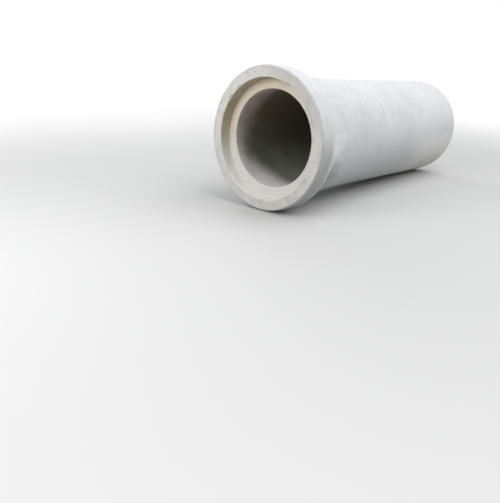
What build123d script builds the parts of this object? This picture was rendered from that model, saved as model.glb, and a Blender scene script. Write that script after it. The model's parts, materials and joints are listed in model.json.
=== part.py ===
from build123d import *

import math
import os

# A bell-and-spigot sewer pipe, cast in one piece in concrete, lying on a level floor.
# Lengths are in millimetres. Stations are measured along the pipe's axis from the bell's face.

# Waterway and barrel
bore_diameter = 800.0
wall = 80.0
laying_length = 2500.0

# Bell, outside
bell_diameter = 1164.0
bell_length = 170.0
bell_shoulder_round = 24.0
bell_cone_length = 105.0
bell_cone_round = 60.0
neck_rise = 22.0
neck_length = 640.0
neck_round = 3000.0
face_chamfer = 10.0

# Socket, inside the bell
socket_depth = 100.0
ring_gap = 9.0
socket_lead_in = 4.0
socket_lead_in_length = 22.0
socket_root_round = 6.0
ledge_round = 8.0

# Spigot, the plain end that goes into the next pipe's socket
spigot_step = 4.0
spigot_length = 110.0
spigot_step_run = 12.0
spigot_nose_chamfer = 10.0
spigot_nose_run = 18.0
bore_end_round = 6.0

# Sizes that follow from the ones above
bore_radius = bore_diameter / 2
barrel_radius = bore_radius + wall
bell_radius = bell_diameter / 2
neck_radius = barrel_radius + neck_rise
spigot_radius = barrel_radius - spigot_step
socket_radius = spigot_radius + ring_gap
mouth_radius = socket_radius + socket_lead_in
overall_length = socket_depth + laying_length
cone_end = bell_length + bell_cone_length
neck_end = cone_end + neck_length
spigot_start = overall_length - spigot_length


def pipe_outline():
    """The pipe's half section as (station, radius, corner rounding), round from the socket's mouth."""
    socket = [
        (0.0, mouth_radius, 0.0),
        (socket_lead_in_length, socket_radius, 0.0),
        (socket_depth, socket_radius, socket_root_round),
        (socket_depth, bore_radius, ledge_round),
    ]
    spigot = [
        (overall_length, bore_radius, bore_end_round),
        (overall_length, spigot_radius - spigot_nose_chamfer, 0.0),
        (overall_length - spigot_nose_run, spigot_radius, 0.0),
        (spigot_start + spigot_step_run, spigot_radius, 0.0),
        (spigot_start, barrel_radius, 0.0),
    ]
    bell = [
        (neck_end, barrel_radius, neck_round),
        (cone_end, neck_radius, bell_cone_round),
        (bell_length, bell_radius, bell_shoulder_round),
        (face_chamfer, bell_radius, 0.0),
        (0.0, bell_radius - face_chamfer, 0.0),
    ]
    return socket + spigot + bell


def turned_pipe():
    """The pipe, turned about the X axis with the bell's face at the origin."""
    corners = pipe_outline()
    points = [(station, radius) for station, radius, _ in corners]
    rounding = [corner_round for _, _, corner_round in corners]
    outline = FilletPolyline(*points, radius=rounding, close=True)
    return revolve(make_face(outline), Axis.X)


def resting_slope():
    """Degrees that the axis slopes down to the spigot, when the shoulder and the spigot touch the floor."""
    shoulder_station = bell_length - bell_shoulder_round * math.tan(shoulder_half_turn())
    shoulder_radius = bell_radius - bell_shoulder_round
    run = overall_length - spigot_nose_run - shoulder_station
    fall = shoulder_radius - spigot_radius
    return math.degrees(math.atan2(fall, run) + math.asin(bell_shoulder_round / math.hypot(run, fall)))


def shoulder_half_turn():
    """Half the angle, in radians, by which the outline turns at the bell's shoulder."""
    return math.atan2(bell_radius - neck_radius, bell_cone_length) / 2


def laid_on_floor(pipe):
    """The pipe tipped to its resting slope, over the origin, with its lowest point on the floor."""
    tipped = Rot(0, resting_slope(), 0) * pipe
    box = tipped.bounding_box()
    return Pos(-box.center().X, -box.center().Y, -box.min.Z) * tipped


concrete_pipe = laid_on_floor(turned_pipe())

os.makedirs("parts", exist_ok=True)
export_step(concrete_pipe, "parts/concrete_pipe.step")
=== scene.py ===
"""Looks of a bell-and-spigot concrete sewer pipe, lying on a plain pale floor in soft light."""

import json
import logging
import math
from dataclasses import dataclass, field
from enum import Enum
from functools import partial, reduce
from typing import Any, Optional, Sequence, Union

import bpy
import numpy as np
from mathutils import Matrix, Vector, noise

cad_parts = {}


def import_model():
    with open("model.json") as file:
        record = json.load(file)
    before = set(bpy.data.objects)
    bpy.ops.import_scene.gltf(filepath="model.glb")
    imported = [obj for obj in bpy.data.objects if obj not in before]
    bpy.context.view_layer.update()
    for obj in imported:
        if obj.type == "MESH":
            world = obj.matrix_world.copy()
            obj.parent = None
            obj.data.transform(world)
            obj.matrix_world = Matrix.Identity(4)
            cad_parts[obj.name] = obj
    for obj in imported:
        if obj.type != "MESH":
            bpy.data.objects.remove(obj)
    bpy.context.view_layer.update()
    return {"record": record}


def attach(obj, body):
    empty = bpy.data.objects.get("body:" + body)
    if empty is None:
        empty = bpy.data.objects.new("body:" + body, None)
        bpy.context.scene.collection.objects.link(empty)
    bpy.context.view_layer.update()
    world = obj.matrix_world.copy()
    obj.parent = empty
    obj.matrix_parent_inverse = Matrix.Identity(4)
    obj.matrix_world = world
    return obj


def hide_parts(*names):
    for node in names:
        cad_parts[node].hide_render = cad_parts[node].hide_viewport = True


LOG = logging.getLogger("sewer_pipe")
NODE = "concrete_pipe"
BODY = "root"
BROKEN = "broken"
# Mesh layer of the pale mark: rubs on the lips, partly a painted highlight on the bell's shoulder.
RUB_AND_HIGHLIGHT = "rubbed"
FULL_TURN = 2 * math.pi
WHITE = (1.0, 1.0, 1.0)

Triple = tuple[float, float, float]
Colour = Triple
# A soft step: nothing at the first value and all of it at the second, which may be the lower one.
Span = tuple[float, float]
# A node's socket, several of them by name, and what an input can be fed with.
Wire = bpy.types.NodeSocket
Wires = dict[str, Wire]
Feed = Union[Wire, float, int, tuple]


class Skin(Enum):
    """The concrete's skins, in the order of the mesh's material slots."""

    FORMED = 0
    RING = 1
    BORE = 2


class Lip(Enum):
    """The sharp edges that chip on a real pipe."""

    MOUTH = "mouth"
    BELL = "bell"
    NOSE = "nose"
    OUTLET = "outlet"


@dataclass(frozen=True)
class Lay:
    """Where the pipe lies: its bell's face centre and its own directions, in the shared frame."""

    origin: np.ndarray
    axis: np.ndarray
    side: np.ndarray
    up: np.ndarray

    @classmethod
    def from_record(cls, record: dict[str, Any], station: float) -> "Lay":
        """Reads the waterway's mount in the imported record.

        Args:
            record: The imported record.
            station: The station of that mount's middle, in metres from the bell's face.

        Returns:
            The pipe's place.
        """
        waterway = next(m for m in record["mounts"] if m["name"] == "waterway")
        axis = np.array(waterway["axis"], float)
        axis /= np.linalg.norm(axis)
        side = np.array((0.0, 1.0, 0.0))
        origin = np.array(waterway["pos_m"], float) - axis * station
        return cls(origin, axis, side, np.cross(axis, side))

    def place(self, station: np.ndarray, radius: np.ndarray, angle: np.ndarray) -> np.ndarray:
        """Points of the shared frame, at angles that run from the pipe's top towards its far side."""
        across = np.cos(angle)[..., None] * self.up + np.sin(angle)[..., None] * self.side
        return self.origin + station[..., None] * self.axis + radius[..., None] * across


@dataclass(frozen=True)
class Corner:
    """A corner of the pipe's half section, with the skin of the run that follows it."""

    station: float
    radius: float
    rounding: float
    skin: Skin
    lip: Optional[Lip] = None


@dataclass
class Waterway:
    """The bore that the water runs through."""

    radius: float = 0.400
    ledge_round: float = 0.008

    def corners(self, start: float) -> list[Corner]:
        """The bore's start, at the ledge in the socket."""
        return [Corner(start, self.radius, self.ledge_round, Skin.BORE)]


@dataclass
class Socket:
    """The recess in the bell that takes the next pipe's spigot."""

    mouth_radius: float = 0.489
    seat_radius: float = 0.485
    lead_in: float = 0.022
    depth: float = 0.100
    lip_round: float = 0.004
    lead_in_round: float = 0.030
    root_round: float = 0.006

    def corners(self) -> list[Corner]:
        """Sets out the mouth, the lead-in, and the root at the ledge.

        Returns:
            The corners in order.
        """
        return [
            Corner(0.0, self.mouth_radius, self.lip_round, Skin.BORE, Lip.MOUTH),
            Corner(self.lead_in, self.seat_radius, self.lead_in_round, Skin.BORE),
            Corner(self.depth, self.seat_radius, self.root_round, Skin.BORE),
        ]


@dataclass
class Spigot:
    """The plain end, a little slimmer than the barrel, with a chamfered nose."""

    radius: float = 0.476
    length: float = 0.110
    step_run: float = 0.012
    nose_chamfer: float = 0.010
    nose_run: float = 0.018
    outlet_round: float = 0.006
    nose_round: float = 0.004
    step_round: float = 0.004

    def corners(self, end: float, bore: float, barrel: float) -> list[Corner]:
        """Sets out the spigot, from the bore's outlet round to the barrel.

        Args:
            end: The pipe's overall length.
            bore: The bore's radius.
            barrel: The barrel's radius.

        Returns:
            The corners in order.
        """
        start = end - self.length
        return [
            Corner(end, bore, self.outlet_round, Skin.RING, Lip.OUTLET),
            Corner(end, self.radius - self.nose_chamfer, self.nose_round, Skin.RING, Lip.NOSE),
            Corner(end - self.nose_run, self.radius, self.nose_round, Skin.FORMED),
            Corner(start + self.step_run, self.radius, self.step_round, Skin.FORMED),
            Corner(start, barrel, self.step_round, Skin.FORMED),
        ]


@dataclass
class Bell:
    """The wide end: neck, cone, rounded shoulder, rim and chamfered face."""

    radius: float = 0.582
    length: float = 0.170
    shoulder_round: float = 0.024
    cone_length: float = 0.105
    cone_round: float = 0.060
    neck_rise: float = 0.022
    neck_length: float = 0.640
    neck_round: float = 3.0
    face_chamfer: float = 0.010
    edge_round: float = 0.003

    def corners(self, barrel: float) -> list[Corner]:
        """Sets out the bell's outside, from the barrel to the face.

        Args:
            barrel: The barrel's radius.

        Returns:
            The corners in order.
        """
        cone_end = self.length + self.cone_length
        return [
            Corner(cone_end + self.neck_length, barrel, self.neck_round, Skin.FORMED),
            Corner(cone_end, barrel + self.neck_rise, self.cone_round, Skin.FORMED),
            Corner(self.length, self.radius, self.shoulder_round, Skin.FORMED),
            Corner(self.face_chamfer, self.radius, self.edge_round, Skin.RING, Lip.BELL),
            Corner(0.0, self.radius - self.face_chamfer, self.edge_round, Skin.RING),
        ]


@dataclass
class Outline:
    """The half section as many points, with what each point's surroundings are."""

    station: np.ndarray
    radius: np.ndarray
    normal: np.ndarray
    skin: np.ndarray
    travel: np.ndarray
    around: float
    lips: dict[Lip, float]

    def reach(self, lip: Lip) -> np.ndarray:
        """Each point's distance from a lip, the short way along the outline, negative before the lip."""
        gap = self.travel - self.lips[lip]
        return (gap + self.around / 2) % self.around - self.around / 2

    def nearness(self, lip: Lip, distance: float) -> np.ndarray:
        """1 for points on a lip, falling to 0 at a distance from it."""
        return np.clip(1 - np.abs(self.reach(lip)) / distance, 0, 1)


@dataclass
class OutlineSampler:
    """Divides a half section finely at its lips and corners, and coarsely along its long runs."""

    fine_step: float = 0.0030
    growth: float = 0.50
    coarse_step: float = 0.100
    arc_step: float = math.radians(20.0)

    def sample(self, corners: Sequence[Corner]) -> Outline:
        """Rounds the corners and spaces points along the outline.

        Args:
            corners: The closed half section's corners in order.

        Returns:
            The sampled outline.
        """
        points: list[tuple[float, float]] = []
        skins: list[int] = []
        lip_points: dict[Lip, int] = {}
        arcs = [self._arc(corners, index) for index in range(len(corners))]
        for index, arc in enumerate(arcs):
            corner = corners[index]
            middle = len(arc) // 2
            if corner.lip is not None:
                lip_points[corner.lip] = len(points) + middle
            run = self._run(arc[-1], arcs[(index + 1) % len(arcs)][0])
            points += [tuple(point) for point in (*arc, *run)]
            skins += [corners[index - 1].skin.value] * middle
            skins += [corner.skin.value] * (len(arc) - middle + len(run))
        shape = np.array(points)
        along = np.roll(shape, -1, axis=0) - np.roll(shape, 1, axis=0)
        along /= np.linalg.norm(along, axis=1)[:, None]
        normal = np.stack((along[:, 1], -along[:, 0]), axis=1)
        travel = np.concatenate(([0.0], np.cumsum(np.linalg.norm(np.diff(shape, axis=0), axis=1))))
        around = travel[-1] + math.hypot(*(shape[0] - shape[-1]))
        lips = {lip: float(travel[at]) for lip, at in lip_points.items()}
        return Outline(shape[:, 0], shape[:, 1], normal, np.array(skins), travel, around, lips)

    def _arc(self, corners: Sequence[Corner], index: int) -> np.ndarray:
        """Rounds one corner.

        Args:
            corners: The closed half section's corners in order.
            index: The corner's number.

        Returns:
            The points of its arc, from tangent to tangent.
        """
        corner, last, following = corners[index], corners[index - 1], corners[(index + 1) % len(corners)]
        here = np.array((corner.station, corner.radius))
        back = np.array((last.station, last.radius)) - here
        ahead = np.array((following.station, following.radius)) - here
        back, ahead = back / np.linalg.norm(back), ahead / np.linalg.norm(ahead)
        turn = math.pi - math.acos(float(np.clip(back @ ahead, -1.0, 1.0)))
        tangent = corner.rounding * math.tan(turn / 2)
        steps = max(2, math.ceil(turn / self.arc_step))
        centre = here + (back + ahead) / np.linalg.norm(back + ahead) * corner.rounding / math.cos(turn / 2)
        first = here + back * tangent - centre
        across = here + ahead * tangent - centre
        share = np.linspace(0.0, 1.0, steps + 1)[:, None]
        return centre + (np.sin((1 - share) * turn) * first + np.sin(share * turn) * across) / math.sin(turn)

    def _run(self, start: np.ndarray, end: np.ndarray) -> np.ndarray:
        """Spaces points between two arcs, close together at both ends and further apart between them.

        Args:
            start: The last point of the arc before.
            end: The first point of the arc after.

        Returns:
            The points, without the two given ones.
        """
        length = float(np.linalg.norm(end - start))
        marks = [0.0]
        while marks[-1] < length / 2:
            marks.append(marks[-1] + min(self.coarse_step, self.fine_step + self.growth * marks[-1]))
        half = np.array(marks) * (length / 2 / marks[-1])
        spaced = np.concatenate((half, length - half[-2::-1]))[1:-1]
        return start + (end - start) * (spaced / length)[:, None]


@dataclass(frozen=True)
class Swell:
    """Smooth noise through space, with swells of one size."""

    size: float
    seed: float
    height: float = 1.0

    def at(self, points: np.ndarray) -> np.ndarray:
        """The noise at each point, up to about the height on both sides of 0."""
        flat = points.reshape(-1, 3) / self.size + self.seed
        return self.height * np.array([noise.noise(Vector(p)) for p in flat]).reshape(points.shape[:-1])


@dataclass(frozen=True)
class Chip:
    """One bite out of a lip."""

    lip: Lip
    angle: float
    half_length: float
    depth: float
    before: float
    after: float


@dataclass
class LipDamage:
    """The small chips and the slightly ragged line of the lips."""

    seed: int = 41
    counts: dict[Lip, int] = field(
        default_factory=lambda: {Lip.MOUTH: 13, Lip.BELL: 22, Lip.NOSE: 20, Lip.OUTLET: 10}
    )
    smallness: float = 2.6
    shortest: float = 0.008
    longest: float = 0.034
    shallowest: float = 0.0018
    deepest: float = 0.0075
    widest: float = 0.016
    least_width: float = 0.3
    least_draw: float = 0.6
    bluntness: float = 0.7
    chip_raggedness: float = 0.55
    laid_open: float = 2.4
    ragged: Swell = Swell(size=0.030, seed=3.0)
    ragged_depth: float = 0.0009
    ragged_reach: float = 0.012
    ragged_level: float = 0.4
    blend_reach: float = 0.020
    lip_rub_reach: float = 0.012
    lip_rub: float = 0.40
    # The pale mark round the bell's shoulder and onto its cone: partly a rub, partly a painted highlight.
    rim_rub_reach: float = 0.040
    cone_rub_reach: float = 0.014

    def chips(self) -> list[Chip]:
        """Draws the chips, most of them small.

        Returns:
            The chips of all the lips.
        """
        draw = np.random.default_rng(self.seed)
        made = []
        for lip in (lip for lip, count in self.counts.items() for _ in range(count)):
            size = float(draw.random()) ** self.smallness
            angle = float(draw.uniform(0.0, FULL_TURN))
            deep, before, after = (float(draw.uniform(self.least_draw, 1.0)) for _ in range(3))
            half_length = self.shortest + (self.longest - self.shortest) * size
            depth = self.shallowest + (self.deepest - self.shallowest) * size * deep
            width = self.widest * (self.least_width + (1 - self.least_width) * size)
            made.append(Chip(lip, angle, half_length, depth, width * before, width * after))
        return made

    def bite(self, outline: Outline, angles: np.ndarray, wear: np.ndarray) -> tuple[np.ndarray, np.ndarray]:
        """Works out how far the lips are eaten back.

        Args:
            outline: The sampled half section.
            angles: The angles round the pipe.
            wear: Noise from -1 to 1 for each point and angle.

        Returns:
            The depths and the share of broken surface, for each point and angle.
        """
        depth, broken = np.zeros_like(wear), np.zeros_like(wear)
        for chip in self.chips():
            reach = outline.reach(chip.lip)
            width = np.where(reach < 0, chip.before, chip.after)
            across = np.clip(1 - (reach / width) ** 2, 0, None)
            turn = (angles - chip.angle + math.pi) % FULL_TURN - math.pi
            along = np.clip(1 - (turn * outline.radius.mean() / chip.half_length) ** 2, 0, None)
            shape = across[:, None] * along[None, :] ** self.bluntness
            shape = np.clip(shape * (1 + self.chip_raggedness * wear), 0, None)
            depth = np.maximum(depth, chip.depth * shape)
            broken = np.maximum(broken, np.clip(self.laid_open * shape, 0, 1))
        for lip in Lip:
            near = outline.nearness(lip, self.ragged_reach)[:, None]
            depth += self.ragged_depth * near * np.clip(self.ragged_level + wear, 0, None)
        return depth, broken

    def inward(self, outline: Outline) -> np.ndarray:
        """Finds the direction in which a lip is eaten back, blended over its two sides.

        Args:
            outline: The sampled half section.

        Returns:
            A unit direction in the plane of the half section, for each point.
        """
        inward = -outline.normal
        for lip in Lip:
            at = int(np.argmin(np.abs(outline.reach(lip))))
            weight = outline.nearness(lip, self.blend_reach)[:, None]
            inward = inward * (1 - weight) - outline.normal[at] * weight
        return inward / np.linalg.norm(inward, axis=1)[:, None]

    def rubbed(self, outline: Outline, shoulder: float) -> np.ndarray:
        """Works out how pale each point of the outline is: rubs on the lips, and a mark round the bell's
        shoulder that is partly a rub and partly a painted highlight.

        Args:
            outline: The sampled half section.
            shoulder: The distance along the outline at which the bell's shoulder is.

        Returns:
            A share from 0 to 1 for each point.
        """
        gap = outline.travel - shoulder
        rub_and_highlight_share = np.clip(1 - np.abs(gap) / np.where(gap > 0, self.rim_rub_reach, self.cone_rub_reach), 0, 1)
        for lip in Lip:
            rub_and_highlight_share = np.maximum(rub_and_highlight_share, self.lip_rub * outline.nearness(lip, self.lip_rub_reach))
        return rub_and_highlight_share


@dataclass
class FormMarks:
    """What the steel form leaves on the outside: two joint lines and a faint unevenness."""

    seam_angles: tuple[float, float] = (math.radians(58.0), math.radians(238.0))
    seam_points: tuple[float, ...] = (-0.0070, -0.0045, -0.0022, 0.0, 0.0022, 0.0045, 0.0070)
    seam_clearance: float = 0.0018
    seam_height: float = 0.0014
    seam_half_width: float = 0.0045
    seam_level: float = 0.65
    seam_wear: float = 1.3
    waves: Swell = Swell(size=0.42, seed=11.0, height=0.0011)
    dents: Swell = Swell(size=0.075, seed=23.0, height=0.0005)

    def angles(self, count: int, radius: float) -> np.ndarray:
        """Spaces the angles round the pipe evenly, with extra ones at the joint lines.

        Args:
            count: How many even steps there are.
            radius: The radius at which the extra ones are spaced.

        Returns:
            The sorted angles from 0 up to one turn.
        """
        even = np.linspace(0.0, FULL_TURN, count, endpoint=False)
        extra = np.array([seam + reach / radius for seam in self.seam_angles for reach in self.seam_points])
        clear = [a for a in even if np.min(np.abs(extra - a)) > self.seam_clearance / radius]
        return np.sort(np.concatenate((clear, extra)))

    def seam(self, angles: np.ndarray, radius: float, wear: np.ndarray) -> np.ndarray:
        """Raises the joint lines, broken off here and there.

        Args:
            angles: The angles round the pipe.
            radius: The barrel's radius.
            wear: Noise from -1 to 1 for each point and angle.

        Returns:
            The lines' height for each point and angle.
        """
        height = np.zeros_like(wear)
        for seam in self.seam_angles:
            ridge = np.clip(1 - np.abs(angles - seam) * radius / self.seam_half_width, 0, 1)[None, :]
            height += self.seam_height * ridge * np.clip(self.seam_level + self.seam_wear * wear, 0, 1)
        return height


def placed(name: str, data: bpy.types.ID) -> bpy.types.Object:
    """Makes an object and puts it into the scene.

    Args:
        name: The object's name.
        data: Its mesh, lamp or camera.

    Returns:
        The object.
    """
    made = bpy.data.objects.new(name, data)
    bpy.context.scene.collection.objects.link(made)
    return made


def smooth_object(name: str, points: list[Any], faces: list[Any]) -> bpy.types.Object:
    """Makes an object with a smoothly shaded mesh and puts it into the scene.

    Args:
        name: The object's name and its mesh's.
        points: The mesh's points.
        faces: The numbers of each face's points.

    Returns:
        The object.
    """
    mesh = bpy.data.meshes.new(name)
    mesh.from_pydata(points, [], faces)
    mesh.polygons.foreach_set("use_smooth", np.ones(len(faces), dtype=bool))
    mesh.update()
    return placed(name, mesh)


@dataclass
class PipeCasting:
    """The whole pipe, cast in one piece."""

    waterway: Waterway = field(default_factory=Waterway)
    socket: Socket = field(default_factory=Socket)
    spigot: Spigot = field(default_factory=Spigot)
    bell: Bell = field(default_factory=Bell)
    damage: LipDamage = field(default_factory=LipDamage)
    form: FormMarks = field(default_factory=FormMarks)
    sampler: OutlineSampler = field(default_factory=OutlineSampler)
    laying_length: float = 2.500
    barrel_radius: float = 0.480
    steps_round: int = 416

    @property
    def length(self) -> float:
        """The pipe's overall length."""
        return self.socket.depth + self.laying_length

    @property
    def waterway_middle(self) -> float:
        """The station of the middle of the bore's straight run."""
        return (self.socket.depth + self.waterway.ledge_round + self.length - self.spigot.outlet_round) / 2

    def corners(self) -> list[Corner]:
        """Sets out the half section, round from the socket's mouth.

        Returns:
            The corners in order.
        """
        return (
            self.socket.corners()
            + self.waterway.corners(self.socket.depth)
            + self.spigot.corners(self.length, self.waterway.radius, self.barrel_radius)
            + self.bell.corners(self.barrel_radius)
        )

    def build(self, lay: Lay) -> bpy.types.Object:
        """Makes the pipe's mesh, with its chips, joint lines and unevenness.

        Args:
            lay: Where the pipe lies.

        Returns:
            The pipe's object, at the origin with its place in its mesh.
        """
        outline = self.sampler.sample(self.corners())
        angles = self.form.angles(self.steps_round, self.barrel_radius)
        station, radius = outline.station[:, None], outline.radius[:, None]
        smooth = lay.place(station, radius, angles)
        wear = self.damage.ragged.at(smooth)
        raised = self.form.waves.at(smooth) + self.form.dents.at(smooth)
        formed = (outline.skin == Skin.FORMED.value)[:, None]
        raised += np.where(formed, self.form.seam(angles, self.barrel_radius, wear), 0.0)
        depth, broken = self.damage.bite(outline, angles, wear)
        inward = self.damage.inward(outline)
        shift = outline.normal[:, None, :] * raised[..., None] + inward[:, None, :] * depth[..., None]
        points = lay.place(station + shift[..., 0], radius + shift[..., 1], angles)
        points[..., 2] = np.maximum(points[..., 2], 0.0)
        pipe = self._joined(points, outline)
        # Pale mark on the lips and the bell's shoulder: rubs, with a painted highlight on the shoulder.
        rubbed = self.damage.rubbed(outline, self._shoulder(outline))[:, None]
        for name, values in ((BROKEN, broken), (RUB_AND_HIGHLIGHT, np.broadcast_to(rubbed, broken.shape))):
            layer = pipe.data.attributes.new(name, "FLOAT", "POINT")
            layer.data.foreach_set("value", np.ascontiguousarray(values, dtype=np.float32).ravel())
        return pipe

    def _shoulder(self, outline: Outline) -> float:
        """The distance along the outline at which the bell's shoulder turns most."""
        outside = outline.radius > self.bell.radius - self.bell.shoulder_round / 3
        return float(outline.travel[outside & (outline.station > self.bell.length / 2)][0])

    @staticmethod
    def _joined(points: np.ndarray, outline: Outline) -> bpy.types.Object:
        """Joins the points of all half sections into one closed mesh.

        Args:
            points: The points, one half section in each column.
            outline: The sampled half section, which gives each face its skin.

        Returns:
            The pipe's object.
        """
        rows, columns = points.shape[:2]
        index = np.arange(rows * columns).reshape(rows, columns)
        down, right = np.roll(index, -1, axis=0), np.roll(index, -1, axis=1)
        quads = np.stack((index, right, np.roll(down, -1, axis=1), down), axis=-1).reshape(-1, 4)
        pipe = smooth_object("Sewer_Pipe", points.reshape(-1, 3).tolist(), quads.tolist())
        skins = np.repeat(outline.skin, columns).astype(np.int32)
        pipe.data.polygons.foreach_set("material_index", skins)
        return pipe

    def dress(self, pipe: bpy.types.Object, finishes: dict[Skin, bpy.types.Material]) -> None:
        """Gives the pipe its materials, in the skins' order."""
        for skin in Skin:
            pipe.data.materials.append(finishes[skin])


@dataclass(frozen=True)
class Texture:
    """A noise texture, and the span of its values over which its patches show."""

    scale: float
    detail: float
    rough: float
    span: Span = (0.0, 1.0)


@dataclass(frozen=True)
class Overlay:
    """A colour laid over another, for dirt and wear and for painted light and shade: its share at most, and
    where on the pipe it comes in, in metres.
    """

    colour: Colour
    share: float = 1.0
    station: Optional[Span] = None
    height: Optional[Span] = None
    radius: Optional[Span] = None
    patches: Optional[Texture] = None


class Board:
    """A node tree that nodes are set out and wired on."""

    def __init__(self, tree: bpy.types.NodeTree) -> None:
        """Clears the tree's nodes."""
        self.tree = tree
        tree.nodes.clear()

    def add(self, kind: str, inputs: Optional[dict[Any, Feed]] = None, **settings: Any) -> bpy.types.Node:
        """Places a node.

        Args:
            kind: The node's type, without ShaderNode where it begins so.
            inputs: A value or a socket for each input, by name or number.
            settings: Properties of the node itself.

        Returns:
            The node.
        """
        node = self.tree.nodes.new(kind if kind.startswith("Node") else "ShaderNode" + kind)
        for name, value in settings.items():
            setattr(node, name, value)
        for key, value in (inputs or {}).items():
            self.feed(node.inputs[key], value)
        return node

    def feed(self, target: Wire, value: Feed) -> None:
        """Wires a socket to an input, or sets the input's own value.

        Args:
            target: The input.
            value: What goes into it.
        """
        if isinstance(value, Wire):
            self.tree.links.new(value, target)
        elif isinstance(value, tuple) and target.type == "RGBA":
            target.default_value = (*value[:3], 1.0)
        else:
            target.default_value = value

    def math(self, operation: str, *values: Feed) -> Wire:
        """A Math node's result."""
        return self.add("Math", dict(enumerate(values)), operation=operation).outputs[0]

    def times(self, *values: Feed) -> Wire:
        """The product of several values."""
        return reduce(partial(self.math, "MULTIPLY"), values)

    def plus(self, *values: Feed) -> Wire:
        """The sum of several values."""
        return reduce(partial(self.math, "ADD"), values)

    def most(self, *values: Feed) -> Wire:
        """The largest of several values."""
        return reduce(partial(self.math, "MAXIMUM"), values)

    def raised(self, share: Wire, least: float) -> Wire:
        """A share from 0 to 1, brought up to between its least value and 1."""
        return self.math("MULTIPLY_ADD", share, 1.0 - least, least)

    def vector(self, operation: str, *values: Feed) -> Wire:
        """A Vector Math node's result, a number for the products and lengths."""
        node = self.add("VectorMath", dict(enumerate(values)), operation=operation)
        return node.outputs["Value" if operation in ("DOT_PRODUCT", "LENGTH", "DISTANCE") else "Vector"]

    def combine(self, *values: Feed) -> Wire:
        """A vector made of three numbers."""
        return self.add("CombineXYZ", dict(enumerate(values))).outputs[0]

    def ramp(self, value: Feed, span: tuple[Feed, Feed]) -> Wire:
        """A soft step from 0 at the span's first value to 1 at its second."""
        inputs = {"Value": value, "From Min": span[0], "From Max": span[1], "To Min": 0.0, "To Max": 1.0}
        return self.add("MapRange", inputs, interpolation_type="SMOOTHSTEP").outputs["Result"]

    def mix(self, share: Feed, below: Feed, above: Feed) -> Wire:
        """A colour with a share of another laid over it, by the Mix node's colour sockets."""
        return self.add("Mix", {0: share, 6: below, 7: above}, data_type="RGBA", blend_type="MIX").outputs[2]

    def shade(self, colour: Wire, change: Wire) -> Wire:
        """A colour made lighter or darker by a share that varies over the surface."""
        inputs = {0: colour, "Scale": self.plus(change, 1.0)}
        return self.add("VectorMath", inputs, operation="SCALE").outputs["Vector"]

    def noise(self, place: Wire, texture: Texture, size: Optional[Wire] = None) -> Wire:
        """A noise texture's value.

        Args:
            place: Where the texture is read.
            texture: The texture.
            size: The length in metres that its scale counts in, or nothing for one metre.

        Returns:
            The value, from 0 to 1.
        """
        scale = texture.scale if size is None else self.math("DIVIDE", texture.scale, size)
        inputs = {"Vector": place, "Scale": scale, "Detail": texture.detail, "Roughness": texture.rough}
        return self.add("TexNoise", inputs).outputs["Fac"]

    def centred(self, value: Wire, swing: float) -> Wire:
        """A value from 0 to 1, turned into one that swings evenly about 0."""
        return self.math("MULTIPLY_ADD", value, swing, -swing / 2)

    def sway(self, place: Wire, texture: Texture, swing: float) -> Wire:
        """A noise texture that swings evenly about 0."""
        return self.centred(self.noise(place, texture), swing)

    def patches(self, place: Wire, texture: Texture, size: Optional[Wire] = None) -> Wire:
        """A noise texture's patches, from 0 to 1."""
        return self.ramp(self.noise(place, texture, size), texture.span)

    def cells(self, place: Wire, size: Wire, randomness: float) -> tuple[Wire, Wire, Wire]:
        """Divides space into cells.

        Args:
            place: Where the cells are read.
            size: The cells' size in metres.
            randomness: How irregular they are, from 0 to 1.

        Returns:
            The distance from the cell's middle, and two numbers from 0 to 1 that differ from cell to cell.
        """
        inputs = {"Vector": place, "Scale": self.math("DIVIDE", 1.0, size), "Randomness": randomness}
        node = self.add("TexVoronoi", inputs)
        draw = self.add("SeparateColor", {0: node.outputs["Color"]})
        return node.outputs["Distance"], draw.outputs[0], draw.outputs[1]

    def stored(self, name: str) -> Wire:
        """A share that is stored on the mesh."""
        return self.add("Attribute", attribute_name=name, attribute_type="GEOMETRY").outputs["Fac"]

    def blend(self, share: Wire, below: bpy.types.Node, above: bpy.types.Node) -> bpy.types.Node:
        """A shader with a share of another laid over it."""
        return self.add("MixShader", {0: share, 1: below.outputs[0], 2: above.outputs[0]})


class SocketKind(Enum):
    """The socket types that the groups use."""

    NUMBER = "NodeSocketFloat"
    COLOUR = "NodeSocketColor"
    VECTOR = "NodeSocketVector"


NUMBER, COLOUR, VECTOR = SocketKind


class EffectGroup(Board):
    """The tree of a shader node group with named inputs and outputs, built once for all the skins."""

    name: str = ""
    takes: dict[str, SocketKind] = {}
    gives: dict[str, SocketKind] = {}

    def __init__(self) -> None:
        """Makes the group with its sockets and its nodes."""
        super().__init__(bpy.data.node_groups.new(self.name, "ShaderNodeTree"))
        for way, sockets in (("INPUT", self.takes), ("OUTPUT", self.gives)):
            for title, kind in sockets.items():
                self.tree.interface.new_socket(title, in_out=way, socket_type=kind.value)
        entry = self.add("NodeGroupInput")
        self.given = [entry.outputs[title] for title in self.takes]
        self.add("NodeGroupOutput", self.wire())

    def wire(self) -> Wires:
        """Sets out the group's nodes, and gives a socket for each of its outputs."""
        raise NotImplementedError

    def use(self, board: Board, **inputs: Feed) -> Wires:
        """Places the group in a material.

        Args:
            board: The material's tree.
            inputs: A value or socket for each input, its name in small letters with underscores.

        Returns:
            The placed group's outputs by name.
        """
        titled = {key.replace("_", " ").title(): value for key, value in inputs.items()}
        node = board.add("Group", titled, node_tree=self.tree)
        return {title: node.outputs[title] for title in self.gives}


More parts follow.
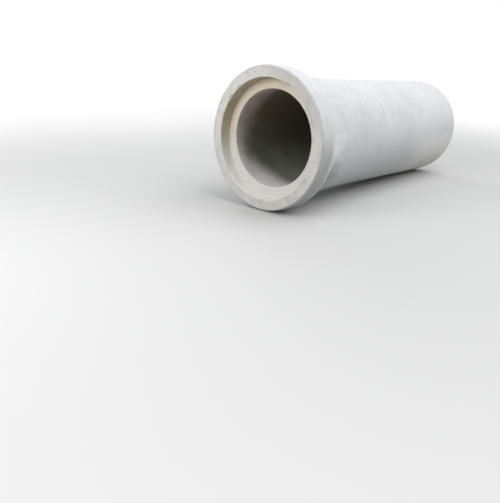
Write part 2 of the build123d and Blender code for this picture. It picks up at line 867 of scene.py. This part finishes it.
class PipePlace(EffectGroup):
    """Where a point lies on the pipe: its station, its side and height from the axis, and its radius."""

    name = "Pipe Place"
    gives = {"Place": VECTOR, "Station": NUMBER, "Side": NUMBER, "Height": NUMBER, "Radius": NUMBER}

    def __init__(self, lay: Lay) -> None:
        """Keeps the pipe's place, then builds the group."""
        self.lay = lay
        super().__init__()

    def wire(self) -> Wires:
        """Measures the point along the pipe's own directions.

        Returns:
            The group's outputs by name.
        """
        point = self.vector("SUBTRACT", self.add("TexCoord").outputs["Object"], tuple(self.lay.origin))
        ways = (self.lay.axis, self.lay.side, self.lay.up)
        station, side, height = (self.vector("DOT_PRODUCT", point, tuple(way)) for way in ways)
        place = self.combine(station, side, height)
        radius = self.vector("LENGTH", self.combine(0.0, side, height))
        return {"Place": place, "Station": station, "Side": side, "Height": height, "Radius": radius}


class PasteClouds(EffectGroup):
    """The uneven tone of cement paste: a body colour with darker damp clouds and pale bloom."""

    name = "Paste Clouds"
    takes = {
        "Place": VECTOR, "Size": NUMBER, "Body": COLOUR, "Dark": COLOUR, "Pale": COLOUR,
        "Dark Share": NUMBER, "Pale Share": NUMBER,
    }
    gives = {"Colour": COLOUR, "Tone": NUMBER}
    broad = Texture(1.0, 4.0, 0.6, (0.46, 0.72))
    finer = Texture(2.7, 5.0, 0.65, (0.50, 0.74))
    offset = (7.3, 1.9, 4.4)

    def wire(self) -> Wires:
        """Lays dark clouds and pale bloom over the body colour.

        Returns:
            The group's outputs by name.
        """
        place, size, body, dark, pale, dark_share, pale_share = self.given
        elsewhere = self.vector("ADD", place, self.offset)
        clouded = self.times(self.patches(place, self.broad, size), dark_share)
        bloomed = self.times(self.patches(elsewhere, self.finer, size), pale_share)
        colour = self.mix(bloomed, self.mix(clouded, body, dark), pale)
        return {"Colour": colour, "Tone": self.math("SUBTRACT", bloomed, clouded)}


class BlowHoles(EffectGroup):
    """Round holes that air bubbles leave against the form."""

    name = "Blow Holes"
    takes = {"Place": VECTOR, "Spacing": NUMBER, "Size": NUMBER, "Share": NUMBER, "Depth": NUMBER}
    gives = {"Mask": NUMBER, "Height": NUMBER}
    least_size = 0.3
    floor_share = 0.45

    def wire(self) -> Wires:
        """Opens a hole in some of the cells that space is divided into.

        Returns:
            The group's outputs by name.
        """
        place, spacing, size, share, depth = self.given
        distance, chance, wideness = self.cells(place, spacing, 1.0)
        wide = self.times(size, self.raised(wideness, self.least_size))
        hole = self.ramp(distance, (wide, self.times(wide, self.floor_share)))
        mask = self.times(hole, self.math("LESS_THAN", chance, share))
        return {"Mask": mask, "Height": self.times(mask, depth, -1.0)}


class SandGrain(EffectGroup):
    """The fine sandy grain of dry concrete."""

    name = "Sand Grain"
    takes = {"Place": VECTOR, "Size": NUMBER, "Depth": NUMBER}
    gives = {"Tone": NUMBER, "Height": NUMBER}
    speckle = Texture(1.0, 4.0, 0.75)

    def wire(self) -> Wires:
        """Makes a rough, even speckle.

        Returns:
            The group's outputs by name.
        """
        place, size, depth = self.given
        tone = self.centred(self.noise(place, self.speckle, size), 1.0)
        return {"Tone": tone, "Height": self.times(tone, depth)}


class WaterRuns(EffectGroup):
    """Streaks where water has run down the concrete and dried."""

    name = "Water Runs"
    takes = {"Place": VECTOR, "Width": NUMBER, "Length": NUMBER}
    gives = {"Mask": NUMBER}
    streaks = Texture(1.0, 3.0, 0.6, (0.48, 0.68))
    areas = Texture(2.4, 3.0, 0.6, (0.46, 0.62))

    def wire(self) -> Wires:
        """Stretches noise down the pipe's side, and keeps it to some areas.

        Returns:
            The group's outputs by name.
        """
        place, width, length = self.given
        stretched = self.vector("DIVIDE", place, self.combine(width, length, length))
        return {"Mask": self.times(self.patches(stretched, self.streaks), self.patches(place, self.areas))}


class BrokenStone(EffectGroup):
    """The stones and rough paste that a chip lays open."""

    name = "Broken Stone"
    takes = {"Place": VECTOR, "Broken": NUMBER, "Size": NUMBER, "Depth": NUMBER}
    gives = {"Mask": NUMBER, "Colour": COLOUR, "Height": NUMBER}
    dark_stone = (0.30, 0.28, 0.25)
    pale_stone = (0.58, 0.55, 0.50)
    paste = (0.62, 0.60, 0.56)
    paste_span = (0.28, 0.46)
    irregularity = 0.9
    rough = Texture(1.6, 3.0, 0.7)
    edge_swing = 0.5
    edge_span = (0.22, 0.42)

    def wire(self) -> Wires:
        """Sets stones of several greys and tans into pale paste.

        Returns:
            The group's outputs by name.
        """
        place, broken, size, depth = self.given
        distance, tone, _ = self.cells(place, size, self.irregularity)
        stones = self.mix(tone, self.dark_stone, self.pale_stone)
        colour = self.mix(self.ramp(distance, self.paste_span), stones, self.paste)
        rough = self.noise(place, self.rough, size)
        mask = self.ramp(self.plus(broken, self.centred(rough, self.edge_swing)), self.edge_span)
        return {"Mask": mask, "Colour": colour, "Height": self.times(rough, depth, mask)}


class EffectKit:
    """The groups that the skins share."""

    def __init__(self, lay: Lay) -> None:
        """Builds each group once."""
        self.place, self.clouds, self.grain = PipePlace(lay), PasteClouds(), SandGrain()
        self.holes, self.stone, self.runs = BlowHoles(), BrokenStone(), WaterRuns()


class SkinBoard(Board):
    """A material's tree, with the shared groups and the point's place on the pipe at hand."""

    def __init__(self, name: str, kit: EffectKit) -> None:
        """Makes the material, and measures the point's place.

        Args:
            name: The material's name.
            kit: The shared groups.
        """
        self.material = bpy.data.materials.new(name)
        self.material.use_nodes = True
        super().__init__(self.material.node_tree)
        self.kit = kit
        self.place, self.station, self.side, self.height, self.radius = kit.place.use(self).values()

    def stain(self, below: Wire, stain: Overlay, *masks: Wire) -> Wire:
        """Lays an overlay over a colour, for dirt and wear and for painted light and shade.

        Args:
            below: The colour.
            overlay: The overlay.
            masks: What holds it back, besides its own spans and patches.

        Returns:
            The colour with the overlay.
        """
        spans = ((self.station, stain.station), (self.height, stain.height), (self.radius, stain.radius))
        own = [self.ramp(value, span) for value, span in spans if span is not None]
        if stain.patches is not None:
            own.append(self.patches(self.place, stain.patches))
        return self.mix(self.times(stain.share, *masks, *own), below, stain.colour)


@dataclass(frozen=True)
class Paste:
    """The colours of cement paste, and how large and strong its clouds are."""

    body: Colour
    dark: Colour
    pale: Colour
    size: float = 0.55
    dark_share: float = 0.6
    pale_share: float = 0.5


@dataclass(frozen=True)
class Pores:
    """Holes of one kind: their spacing and depth in metres, their size in a cell and share of the cells."""

    spacing: float
    size: float
    share: float
    depth: float


@dataclass(frozen=True)
class Grit:
    """Grain or stones of one size, and how far they stand out."""

    size: float
    depth: float


@dataclass(frozen=True)
class ConcreteFinish:
    """What all the skins share: clouded paste, blow holes, grain, pale rubs on the lips with a painted
    highlight on the bell's shoulder, and broken stone.
    """

    name: str
    paste: Paste
    rubbed: Colour
    holes: Pores = Pores(spacing=0.045, size=0.15, share=0.30, depth=0.0022)
    pins: Pores = Pores(spacing=0.014, size=0.17, share=0.35, depth=0.0009)
    pin_shadow: float = 0.6
    pore_tone: float = -0.45
    grain: Grit = Grit(size=0.006, depth=0.00060)
    grain_tone: float = 0.32
    mottle: Texture = Texture(26.0, 5.0, 0.7)
    mottle_tone: float = 0.26
    # The rub_ fields shape the pale mark, which shows more low down; on the bell's shoulder it is partly a
    # painted highlight.
    rub_ragged: Texture = Texture(38.0, 4.0, 0.7)
    rub_swing: float = 1.3
    rub_edge: Span = (0.16, 0.95)
    rub_patches: Texture = Texture(8.0, 4.0, 0.65, (0.38, 0.60))
    rub_low: Span = (0.10, -0.16)
    rub_least: float = 0.22
    high_rub: float = 0.60
    low_rub: float = 0.85
    stones: Grit = Grit(size=0.012, depth=0.0016)
    roughness: float = 0.86
    cloud_roughness: float = 0.06
    specular: float = 0.35

    def material(self, kit: EffectKit) -> bpy.types.Material:
        """Makes the finish's material.

        Args:
            kit: The shared groups.

        Returns:
            The material.
        """
        board = SkinBoard(self.name, kit)
        clouds = kit.clouds.use(board, place=board.place, **vars(self.paste))
        colour = self.stained(board, clouds["Colour"])
        grain = kit.grain.use(board, place=board.place, **vars(self.grain))
        colour = board.shade(colour, board.times(grain["Tone"], self.grain_tone))
        colour = board.shade(colour, board.sway(board.place, self.mottle, self.mottle_tone))
        pores = (self.holes, self.pins)
        holes, pins = (kit.holes.use(board, place=board.place, **vars(kind)) for kind in pores)
        pitted = board.most(holes["Mask"], board.times(pins["Mask"], self.pin_shadow))
        colour = board.shade(colour, board.times(pitted, self.pore_tone))
        # Pale mark: rubs on the lips, partly a painted highlight on the bell's shoulder.
        colour = board.mix(self._worn(board), colour, self.rubbed)
        broken = board.stored(BROKEN)
        stone = kit.stone.use(board, place=board.place, broken=broken, **vars(self.stones))
        colour = board.mix(stone["Mask"], colour, stone["Colour"])
        height = board.plus(holes["Height"], pins["Height"], grain["Height"], stone["Height"])
        bump = board.add("Bump", {"Strength": 1.0, "Distance": 1.0, "Height": height})
        rough = board.math("MULTIPLY_ADD", clouds["Tone"], self.cloud_roughness, self.roughness)
        inputs = {"Base Color": colour, "Roughness": rough, "Specular IOR Level": self.specular}
        shader = board.add("BsdfPrincipled", inputs | {"Normal": bump.outputs[0]})
        board.add("OutputMaterial", {"Surface": shader.outputs[0]})
        return board.material

    def _worn(self, board: SkinBoard) -> Wire:
        """Makes the edges pale with a ragged border and in patches: rubs on the lips, partly a painted
        highlight on the bell's shoulder.

        Args:
            board: The material's tree.

        Returns:
            The share of the pale mark, from 0 to 1.
        """
        rubbed = board.stored(RUB_AND_HIGHLIGHT)
        ragged = board.plus(rubbed, board.sway(board.place, self.rub_ragged, self.rub_swing))
        touched = board.math("GREATER_THAN", rubbed, 0.0)
        high = board.times(board.patches(board.place, self.rub_patches), self.high_rub)
        low = board.times(board.ramp(board.height, self.rub_low), self.low_rub)
        shown = board.raised(board.most(high, low), self.rub_least)
        return board.times(board.ramp(ragged, self.rub_edge), touched, shown)

    def stained(self, board: SkinBoard, colour: Wire) -> Wire:
        """The clouded paste's colour, with the skin's own dirt and wear and its painted light and shade laid
        over it.
        """
        raise NotImplementedError


@dataclass(frozen=True)
class FormedFinish(ConcreteFinish):
    """The outside, cast against the steel form."""

    runs: Overlay = Overlay((0.42, 0.43, 0.41), 0.20)
    run_width: float = 0.085
    run_length: float = 0.28
    # Darker band low on the bell's outside: partly grime, partly painted shade.
    band: Overlay = Overlay((0.44, 0.455, 0.45), 0.82, height=(0.17, -0.09))
    band_clouds: Texture = Texture(9.0, 4.0, 0.6)
    band_level: float = 0.87
    band_swing: float = 0.5
    band_ragged: Texture = Texture(16.0, 4.0, 0.7)
    band_wander: float = 0.07
    band_end: Span = (0.144, 0.128)
    neck_start: Span = (0.160, 0.184)
    neck_end: Span = (0.530, 0.330)
    neck_wander: Texture = Texture(5.5, 5.0, 0.7)
    neck_run: float = 0.55
    neck_rise: float = 0.25
    neck_uneven: Texture = Texture(11.0, 3.0, 0.6)
    neck_unevenness: float = 0.12
    # Paler neck at mid height behind the shoulder: a painted highlight where light falls on the cone and
    # neck.
    washed: Overlay = Overlay((0.88, 0.89, 0.88), 0.78, patches=Texture(5.0, 5.0, 0.65, (0.30, 0.58)))
    washed_middle: float = -0.035
    washed_reach: Span = (0.150, 0.150 / 8)
    # Darker crook behind the bell, low down: partly grime, partly painted shade.
    crook: Overlay = Overlay((0.38, 0.40, 0.385), 0.90, patches=Texture(6.0, 5.0, 0.65, (0.22, 0.50)))
    crook_height: Span = (-0.135, -0.265)
    crook_side: Span = (0.05, -0.25)
    crook_least: float = 0.4
    dust: Overlay = Overlay((0.89, 0.88, 0.87), 0.80, station=(1.50, 2.10), height=(0.06, -0.14))
    soil: Overlay = Overlay(
        colour=(0.36, 0.32, 0.24),
        share=0.45,
        station=(1.50, 2.10),
        height=(-0.20, -0.34),
        patches=Texture(7.0, 4.0, 0.7, (0.50, 0.66)),
    )

    def stained(self, board: SkinBoard, colour: Wire) -> Wire:
        """Adds dried water runs, the bell's darker band of grime and painted shade, the neck's marks, and
        dust and soil low down by the spigot.

        Args:
            board: The material's tree.
            colour: The clouded paste.

        Returns:
            The colour with its overlays.
        """
        kit, place = board.kit, board.place
        runs = kit.runs.use(board, place=place, width=self.run_width, length=self.run_length)
        colour = board.stain(colour, self.runs, runs["Mask"])
        # The bell's darker band: partly grime, partly painted shade.
        level = board.plus(board.sway(place, self.band_clouds, self.band_swing), self.band_level)
        station = board.plus(board.station, board.sway(place, self.band_ragged, self.band_wander))
        colour = board.stain(colour, self.band, board.ramp(station, self.band_end), level)
        colour = board.stain(self._neck(board, colour), self.dust)
        return board.stain(colour, self.soil)

    def _neck(self, board: SkinBoard, colour: Wire) -> Wire:
        """Lays a painted highlight on the neck at mid height, and darkens the crook behind the bell below,
        partly grime and partly painted shade.

        Args:
            board: The material's tree.
            colour: The colour so far.

        Returns:
            The colour with the neck's marks.
        """
        wander = board.sway(board.place, self.neck_wander, 1.0)
        uneven = board.sway(board.place, self.neck_uneven, self.neck_unevenness)
        station = board.math("MULTIPLY_ADD", wander, self.neck_run, board.station)
        height = board.plus(board.math("MULTIPLY_ADD", wander, self.neck_rise, board.height), uneven)
        neck = board.times(board.ramp(board.station, self.neck_start), board.ramp(station, self.neck_end))
        # Painted highlight on the neck at mid height.
        off_middle = board.math("ABSOLUTE", board.math("SUBTRACT", height, self.washed_middle))
        colour = board.stain(colour, self.washed, neck, board.ramp(off_middle, self.washed_reach))
        # The crook darkened low down: partly grime, partly painted shade.
        turned = board.raised(board.ramp(board.side, self.crook_side), self.crook_least)
        return board.stain(colour, self.crook, neck, board.ramp(height, self.crook_height), turned)


@dataclass(frozen=True)
class RingFinish(ConcreteFinish):
    """The ring faces, cast on the pallet and struck off, with faint rings."""

    # Darker patch high on one side of the face: painted shade.
    smudge: Overlay = Overlay((0.52, 0.485, 0.45), 0.50)
    smudge_middle: tuple[float, float] = (-0.30, 0.38)
    smudge_uneven: Texture = Texture(7.0, 5.0, 0.65)
    smudge_swing: float = 0.6
    smudge_reach: Span = (0.52, 0.52 / 3)
    soiled: Overlay = Overlay(
        colour=(0.50, 0.49, 0.46),
        share=0.30,
        height=(0.02, -0.34),
        patches=Texture(6.0, 5.0, 0.65, (0.36, 0.60)),
    )
    rim: Overlay = Overlay((0.54, 0.55, 0.545), radius=(0.566, 0.573))
    rings: Texture = Texture(70.0, 2.0, 0.5)
    ring_tone: float = 0.14

    def stained(self, board: SkinBoard, colour: Wire) -> Wire:
        """Adds painted shade high on one side, soil low down, the greyer rim, and the pallet's faint rings.

        Args:
            board: The material's tree.
            colour: The clouded paste.

        Returns:
            The colour with its overlays.
        """
        # Painted shade high on one side of the face.
        across = board.combine(0.0, board.side, board.height)
        away = board.vector("DISTANCE", across, (0.0, *self.smudge_middle))
        away = board.plus(away, board.sway(board.place, self.smudge_uneven, self.smudge_swing))
        colour = board.stain(colour, self.smudge, board.ramp(away, self.smudge_reach))
        colour = board.stain(board.stain(colour, self.soiled), self.rim)
        rings = board.combine(board.radius, 0.0, 0.0)
        return board.shade(colour, board.sway(rings, self.rings, self.ring_tone))


@dataclass(frozen=True)
class BoreFinish(ConcreteFinish):
    """The socket, the ledge and the bore: tan painted reflected light at the socket's top, beige on the
    ledge, dark further in with a damp film and painted shade.
    """

    bore_edge: Span = (0.406, 0.400)
    uneven: Texture = Texture(5.0, 4.0, 0.6)
    unevenness: float = 0.24
    # Tan high in the socket: painted warm reflected light on the downward-facing wall.
    tan: Overlay = Overlay((0.45, 0.38, 0.24), 0.85)
    tan_height: Span = (-0.30, 0.12)
    tan_clouds: Texture = Texture(8.0, 5.0, 0.7, (0.30, 0.52))
    tan_least: float = 0.70
    tan_side: Span = (-0.40, -0.05)
    tan_near_side: float = 0.25
    # Lighter low down in the socket and in the bore near the mouth: painted light where light falls.
    pale_height: Span = (-0.22, -0.40)
    wall_pale: Overlay = Overlay((0.87, 0.86, 0.83), 0.9, station=(0.094, 0.088))
    bore_pale: Overlay = Overlay((0.94, 0.935, 0.915))
    # The ledge is beige at its top, where the tan painted reflected light falls, and pale lower down.
    beige: Colour = (0.76, 0.668, 0.525)
    ledge_pale: Colour = (0.70, 0.69, 0.66)
    ledge_share: float = 0.92
    # The ledge's colour stops short of the wall, so the wall's colour runs onto its outer margin: painted
    # shadow of the wall at the root, where that colour is the darker tan.
    ledge_edge: Span = (0.479, 0.475)
    # Warm tint high in the bore near the mouth: painted warm reflected light, like the tan in the socket.
    warm: Overlay = Overlay((0.60, 0.49, 0.46), 0.85)
    warm_height: Span = (-0.08, 0.14)
    # The dark film inside the bore: partly damp, partly painted shade deepening away from the ends, browner
    # at the top.
    damp_low: Colour = (0.170, 0.175, 0.145)
    damp_high: Colour = (0.158, 0.122, 0.082)
    damp_height: Span = (-0.25, 0.20)
    damp_share: float = 0.96
    damp_start: float = 0.05
    damp_run: float = 0.28
    silt: Colour = (0.34, 0.345, 0.30)
    silt_inside: Span = (0.32, 0.70)
    silt_height: Span = (-0.04, -0.30)
    # The film and its painted shade start later along the bottom.
    dry_height: Span = (-0.15, -0.38)
    dry_run: float = 0.20
    dry_waver: float = 0.4
    warm_run: float = 0.06
    pipe_length: float = 2.6

    def stained(self, board: SkinBoard, colour: Wire) -> Wire:
        """Adds tan painted reflected light high in the socket, painted light low down, the beige ledge, and
        the damp film with painted shade inside the bore.

        Args:
            board: The material's tree.
            colour: The clouded paste.

        Returns:
            The colour with its overlays.
        """
        uneven = board.sway(board.place, self.uneven, self.unevenness)
        height = board.plus(board.height, uneven)
        bore = board.ramp(board.radius, self.bore_edge)
        socket = board.math("SUBTRACT", 1.0, bore)
        # Tan high in the socket: painted warm reflected light.
        faded = board.raised(board.patches(board.place, self.tan_clouds), self.tan_least)
        far = board.raised(board.ramp(board.side, self.tan_side), self.tan_near_side)
        high = board.times(board.ramp(height, self.tan_height), faded, far)
        colour = board.stain(colour, self.tan, high, socket)
        # Painted light on the socket wall low down.
        low = board.ramp(height, self.pale_height)
        colour = board.stain(colour, self.wall_pale, low, socket)
        # Painted shadow of the wall on the ledge's outer margin.
        ledge = board.times(board.ramp(board.radius, self.ledge_edge), socket, self.ledge_share)
        # Beige ledge top: the same painted warm reflected light.
        colour = board.mix(ledge, colour, board.mix(high, self.ledge_pale, self.beige))
        # Painted warm reflected light high in the bore near the mouth.
        warmed = board.ramp(height, self.warm_height)
        colour = board.stain(colour, self.warm, warmed, bore)
        # Painted light low in the bore near the mouth.
        colour = board.stain(colour, self.bore_pale, low, bore)
        return self._damp(board, colour, uneven, warmed, bore)

    def _damp(self, board: SkinBoard, colour: Wire, uneven: Wire, warmed: Wire, bore: Wire) -> Wire:
        """Lays the dark film, partly damp and partly painted shade, and its silt, from either end inwards
        and later along the bottom.

        Args:
            board: The material's tree.
            colour: The colour so far.
            uneven: Noise in metres.
            warmed: The share of the warm painted reflected light, where the film starts a little later.
            bore: 1 in the bore and 0 outside it.

        Returns:
            The colour with the film.
        """
        dry, moist = (board.ramp(board.height, span) for span in (self.dry_height, self.dry_height[::-1]))
        wavering = board.times(uneven, board.raised(moist, self.dry_waver))
        from_spigot = board.math("SUBTRACT", self.pipe_length, board.station)
        inside = board.plus(board.math("MINIMUM", board.station, from_spigot), wavering)
        later = board.plus(board.times(dry, self.dry_run), board.times(warmed, self.warm_run))
        start = board.plus(later, self.damp_start)
        height = board.plus(board.height, uneven)
        film = board.mix(board.ramp(height, self.damp_height), self.damp_low, self.damp_high)
        silted = board.times(board.ramp(inside, self.silt_inside), board.ramp(height, self.silt_height))
        film = board.mix(silted, film, self.silt)
        # Dark film, partly damp and partly painted shade, from either end inwards.
        damp = board.ramp(board.math("SUBTRACT", inside, start), (0.0, self.damp_run))
        return board.mix(board.times(damp, bore, self.damp_share), colour, film)


@dataclass(frozen=True)
class Softbox:
    """A round soft lamp."""

    name: str
    place: Triple
    aim: Triple
    size: float
    power: float

    def build(self) -> None:
        """Makes the lamp and turns it towards its aim."""
        light = bpy.data.lights.new(self.name, "AREA")
        light.shape = "DISK"
        light.size = self.size
        light.energy = self.power
        lamp = placed(self.name, light)
        lamp.location = self.place
        towards = Vector(self.aim) - Vector(self.place)
        lamp.rotation_euler = towards.to_track_quat("-Z", "Y").to_euler()
        lamp.visible_camera = False


@dataclass
class Studio:
    """The plain pale floor with its upswept rim, the soft lamps and the world."""

    flat_radius: float = 9.0
    flat_rows: tuple[float, ...] = (0.1, 0.3, 0.6, 0.85)
    rim_radius: float = 15.0
    rim_height: float = 5.5
    rim_rows: int = 14
    steps_round: int = 160
    floor_colour: Colour = (0.38, 0.38, 0.37)
    seen_colour: Colour = (0.60, 0.60, 0.595)
    floor_roughness: float = 0.9
    white_distance: Span = (1.6, 6.5)
    sky_light: Colour = (0.95, 0.975, 1.0)
    sky_strength: float = 0.43
    overhead: Softbox = Softbox("Overhead_Softbox", (0.3, -3.0, 5.3), (0.0, 0.0, 0.6), 7.0, 312.0)
    front: Softbox = Softbox("Front_Softbox", (-5.2, 0.9, 2.4), (-1.3, 0.0, 0.6), 2.8, 105.0)
    back: Softbox = Softbox("Back_Softbox", (1.6, 5.6, 3.4), (0.0, 0.0, 0.5), 3.6, 130.0)

    def build(self) -> None:
        """Makes the floor, the lamps and the world, and shows colours as they are."""
        bpy.context.scene.view_settings.view_transform = "Standard"
        self._floor()
        for softbox in (self.overhead, self.front, self.back):
            softbox.build()
        self._world()

    def _floor(self) -> bpy.types.Object:
        """Makes a wide flat disc whose rim sweeps up, so that it has no edge in any view.

        Returns:
            The floor's object.
        """
        sweep = self.rim_radius - self.flat_radius
        rows = [(self.flat_radius * share, 0.0) for share in self.flat_rows]
        rows += [
            (self.flat_radius + sweep * math.sin(turn), self.rim_height * (1 - math.cos(turn)))
            for turn in np.linspace(0.0, math.pi / 2, self.rim_rows)
        ]
        count = self.steps_round
        turns = np.linspace(0.0, FULL_TURN, count, endpoint=False)
        points = [(0.0, 0.0, 0.0)] + [(r * math.cos(t), r * math.sin(t), z) for r, z in rows for t in turns]
        around = [(k, (k + 1) % count) for k in range(count)]
        faces: list[tuple[int, ...]] = [(0, 1 + k, 1 + after) for k, after in around]
        for first in range(1, 1 + (len(rows) - 1) * count, count):
            second = first + count
            faces += [(first + k, second + k, second + after, first + after) for k, after in around]
        floor = smooth_object("Studio_Floor", points, faces)
        floor.data.materials.append(self._floor_material())
        return floor

    def _floor_material(self) -> bpy.types.Material:
        """Makes the floor matt, seen paler than it lights the pipe, white far off, and clear from below.

        Returns:
            The material.
        """
        made = bpy.data.materials.new("Pale Floor")
        made.use_nodes = True
        board = Board(made.node_tree)
        seen = self._seen(board)
        matt, pale = (
            board.add("BsdfPrincipled", {"Base Color": colour, "Roughness": self.floor_roughness})
            for colour in (self.floor_colour, self.seen_colour)
        )
        distance = board.vector("LENGTH", board.add("TexCoord").outputs["Object"])
        far = board.times(board.ramp(distance, self.white_distance), seen)
        white = board.add("Emission", {"Color": WHITE, "Strength": 1.0})
        shown = board.blend(far, board.blend(seen, matt, pale), white)
        below = board.add("NewGeometry").outputs["Backfacing"]
        shown = board.blend(below, shown, board.add("BsdfTransparent"))
        board.add("OutputMaterial", {"Surface": shown.outputs[0]})
        return made

    @staticmethod
    def _seen(board: Board) -> Wire:
        """1 for rays that make up the picture, directly or as a reflection, and 0 for rays of light."""
        path = board.add("LightPath").outputs
        return board.most(*(path[f"Is {kind} Ray"] for kind in ("Camera", "Glossy", "Transmission")))

    def _world(self) -> None:
        """Gives even light from all round, seen as white where the floor doesn't reach."""
        world = bpy.data.worlds.new("Soft_Light")
        bpy.context.scene.world = world
        world.use_nodes = True
        board = Board(world.node_tree)
        light = board.add("Background", {"Color": self.sky_light, "Strength": self.sky_strength})
        white = board.add("Background", {"Color": WHITE, "Strength": 1.0})
        both = board.blend(self._seen(board), light, white)
        board.add("OutputWorld", {"Surface": both.outputs[0]})


@dataclass(frozen=True)
class ViewingCamera:
    """The camera at the photograph's viewing angle."""

    place: Triple = (-4.847, -3.038, 1.385)
    turn: Triple = (69.30, -1.77, -47.79)
    lens: float = 41.18
    sensor: float = 36.0

    def build(self) -> None:
        """Makes the camera and gives it to the scene."""
        data = bpy.data.cameras.new("Camera")
        data.lens = self.lens
        data.sensor_width = self.sensor
        camera = placed("Camera", data)
        camera.location = self.place
        camera.rotation_euler = tuple(math.radians(t) for t in self.turn)
        bpy.context.scene.camera = camera


def skins(kit: EffectKit) -> dict[Skin, bpy.types.Material]:
    """Makes the material of each skin.

    Args:
        kit: The shared groups.

    Returns:
        The materials by skin.
    """
    formed = FormedFinish(
        name="Formed Concrete",
        paste=Paste(body=(0.68, 0.70, 0.71), dark=(0.59, 0.605, 0.605), pale=(0.76, 0.775, 0.785)),
        rubbed=(0.88, 0.89, 0.87),
    )
    ring = RingFinish(
        name="Ring Face Concrete",
        paste=Paste(
            body=(0.71, 0.69, 0.655),
            dark=(0.56, 0.54, 0.505),
            pale=(0.80, 0.785, 0.755),
            size=0.12,
            dark_share=1.0,
            pale_share=0.7,
        ),
        rubbed=(0.80, 0.79, 0.77),
    )
    bore = BoreFinish(
        name="Bore Concrete",
        paste=Paste(body=(0.73, 0.72, 0.69), dark=(0.58, 0.57, 0.53), pale=(0.79, 0.78, 0.75), size=0.30),
        rubbed=(0.72, 0.70, 0.66),
    )
    return {Skin.FORMED: formed.material(kit), Skin.RING: ring.material(kit), Skin.BORE: bore.material(kit)}


def main() -> None:
    """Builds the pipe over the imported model, then the studio round it."""
    logging.basicConfig(level=logging.INFO, format="%(message)s")
    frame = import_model()
    casting = PipeCasting()
    lay = Lay.from_record(frame["record"], casting.waterway_middle)
    pipe = casting.build(lay)
    casting.dress(pipe, skins(EffectKit(lay)))
    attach(pipe, BODY)
    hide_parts(NODE)
    LOG.info("%s: %d points, %d faces", pipe.name, len(pipe.data.vertices), len(pipe.data.polygons))
    Studio().build()
    ViewingCamera().build()


if __name__ == "__main__":
    main()
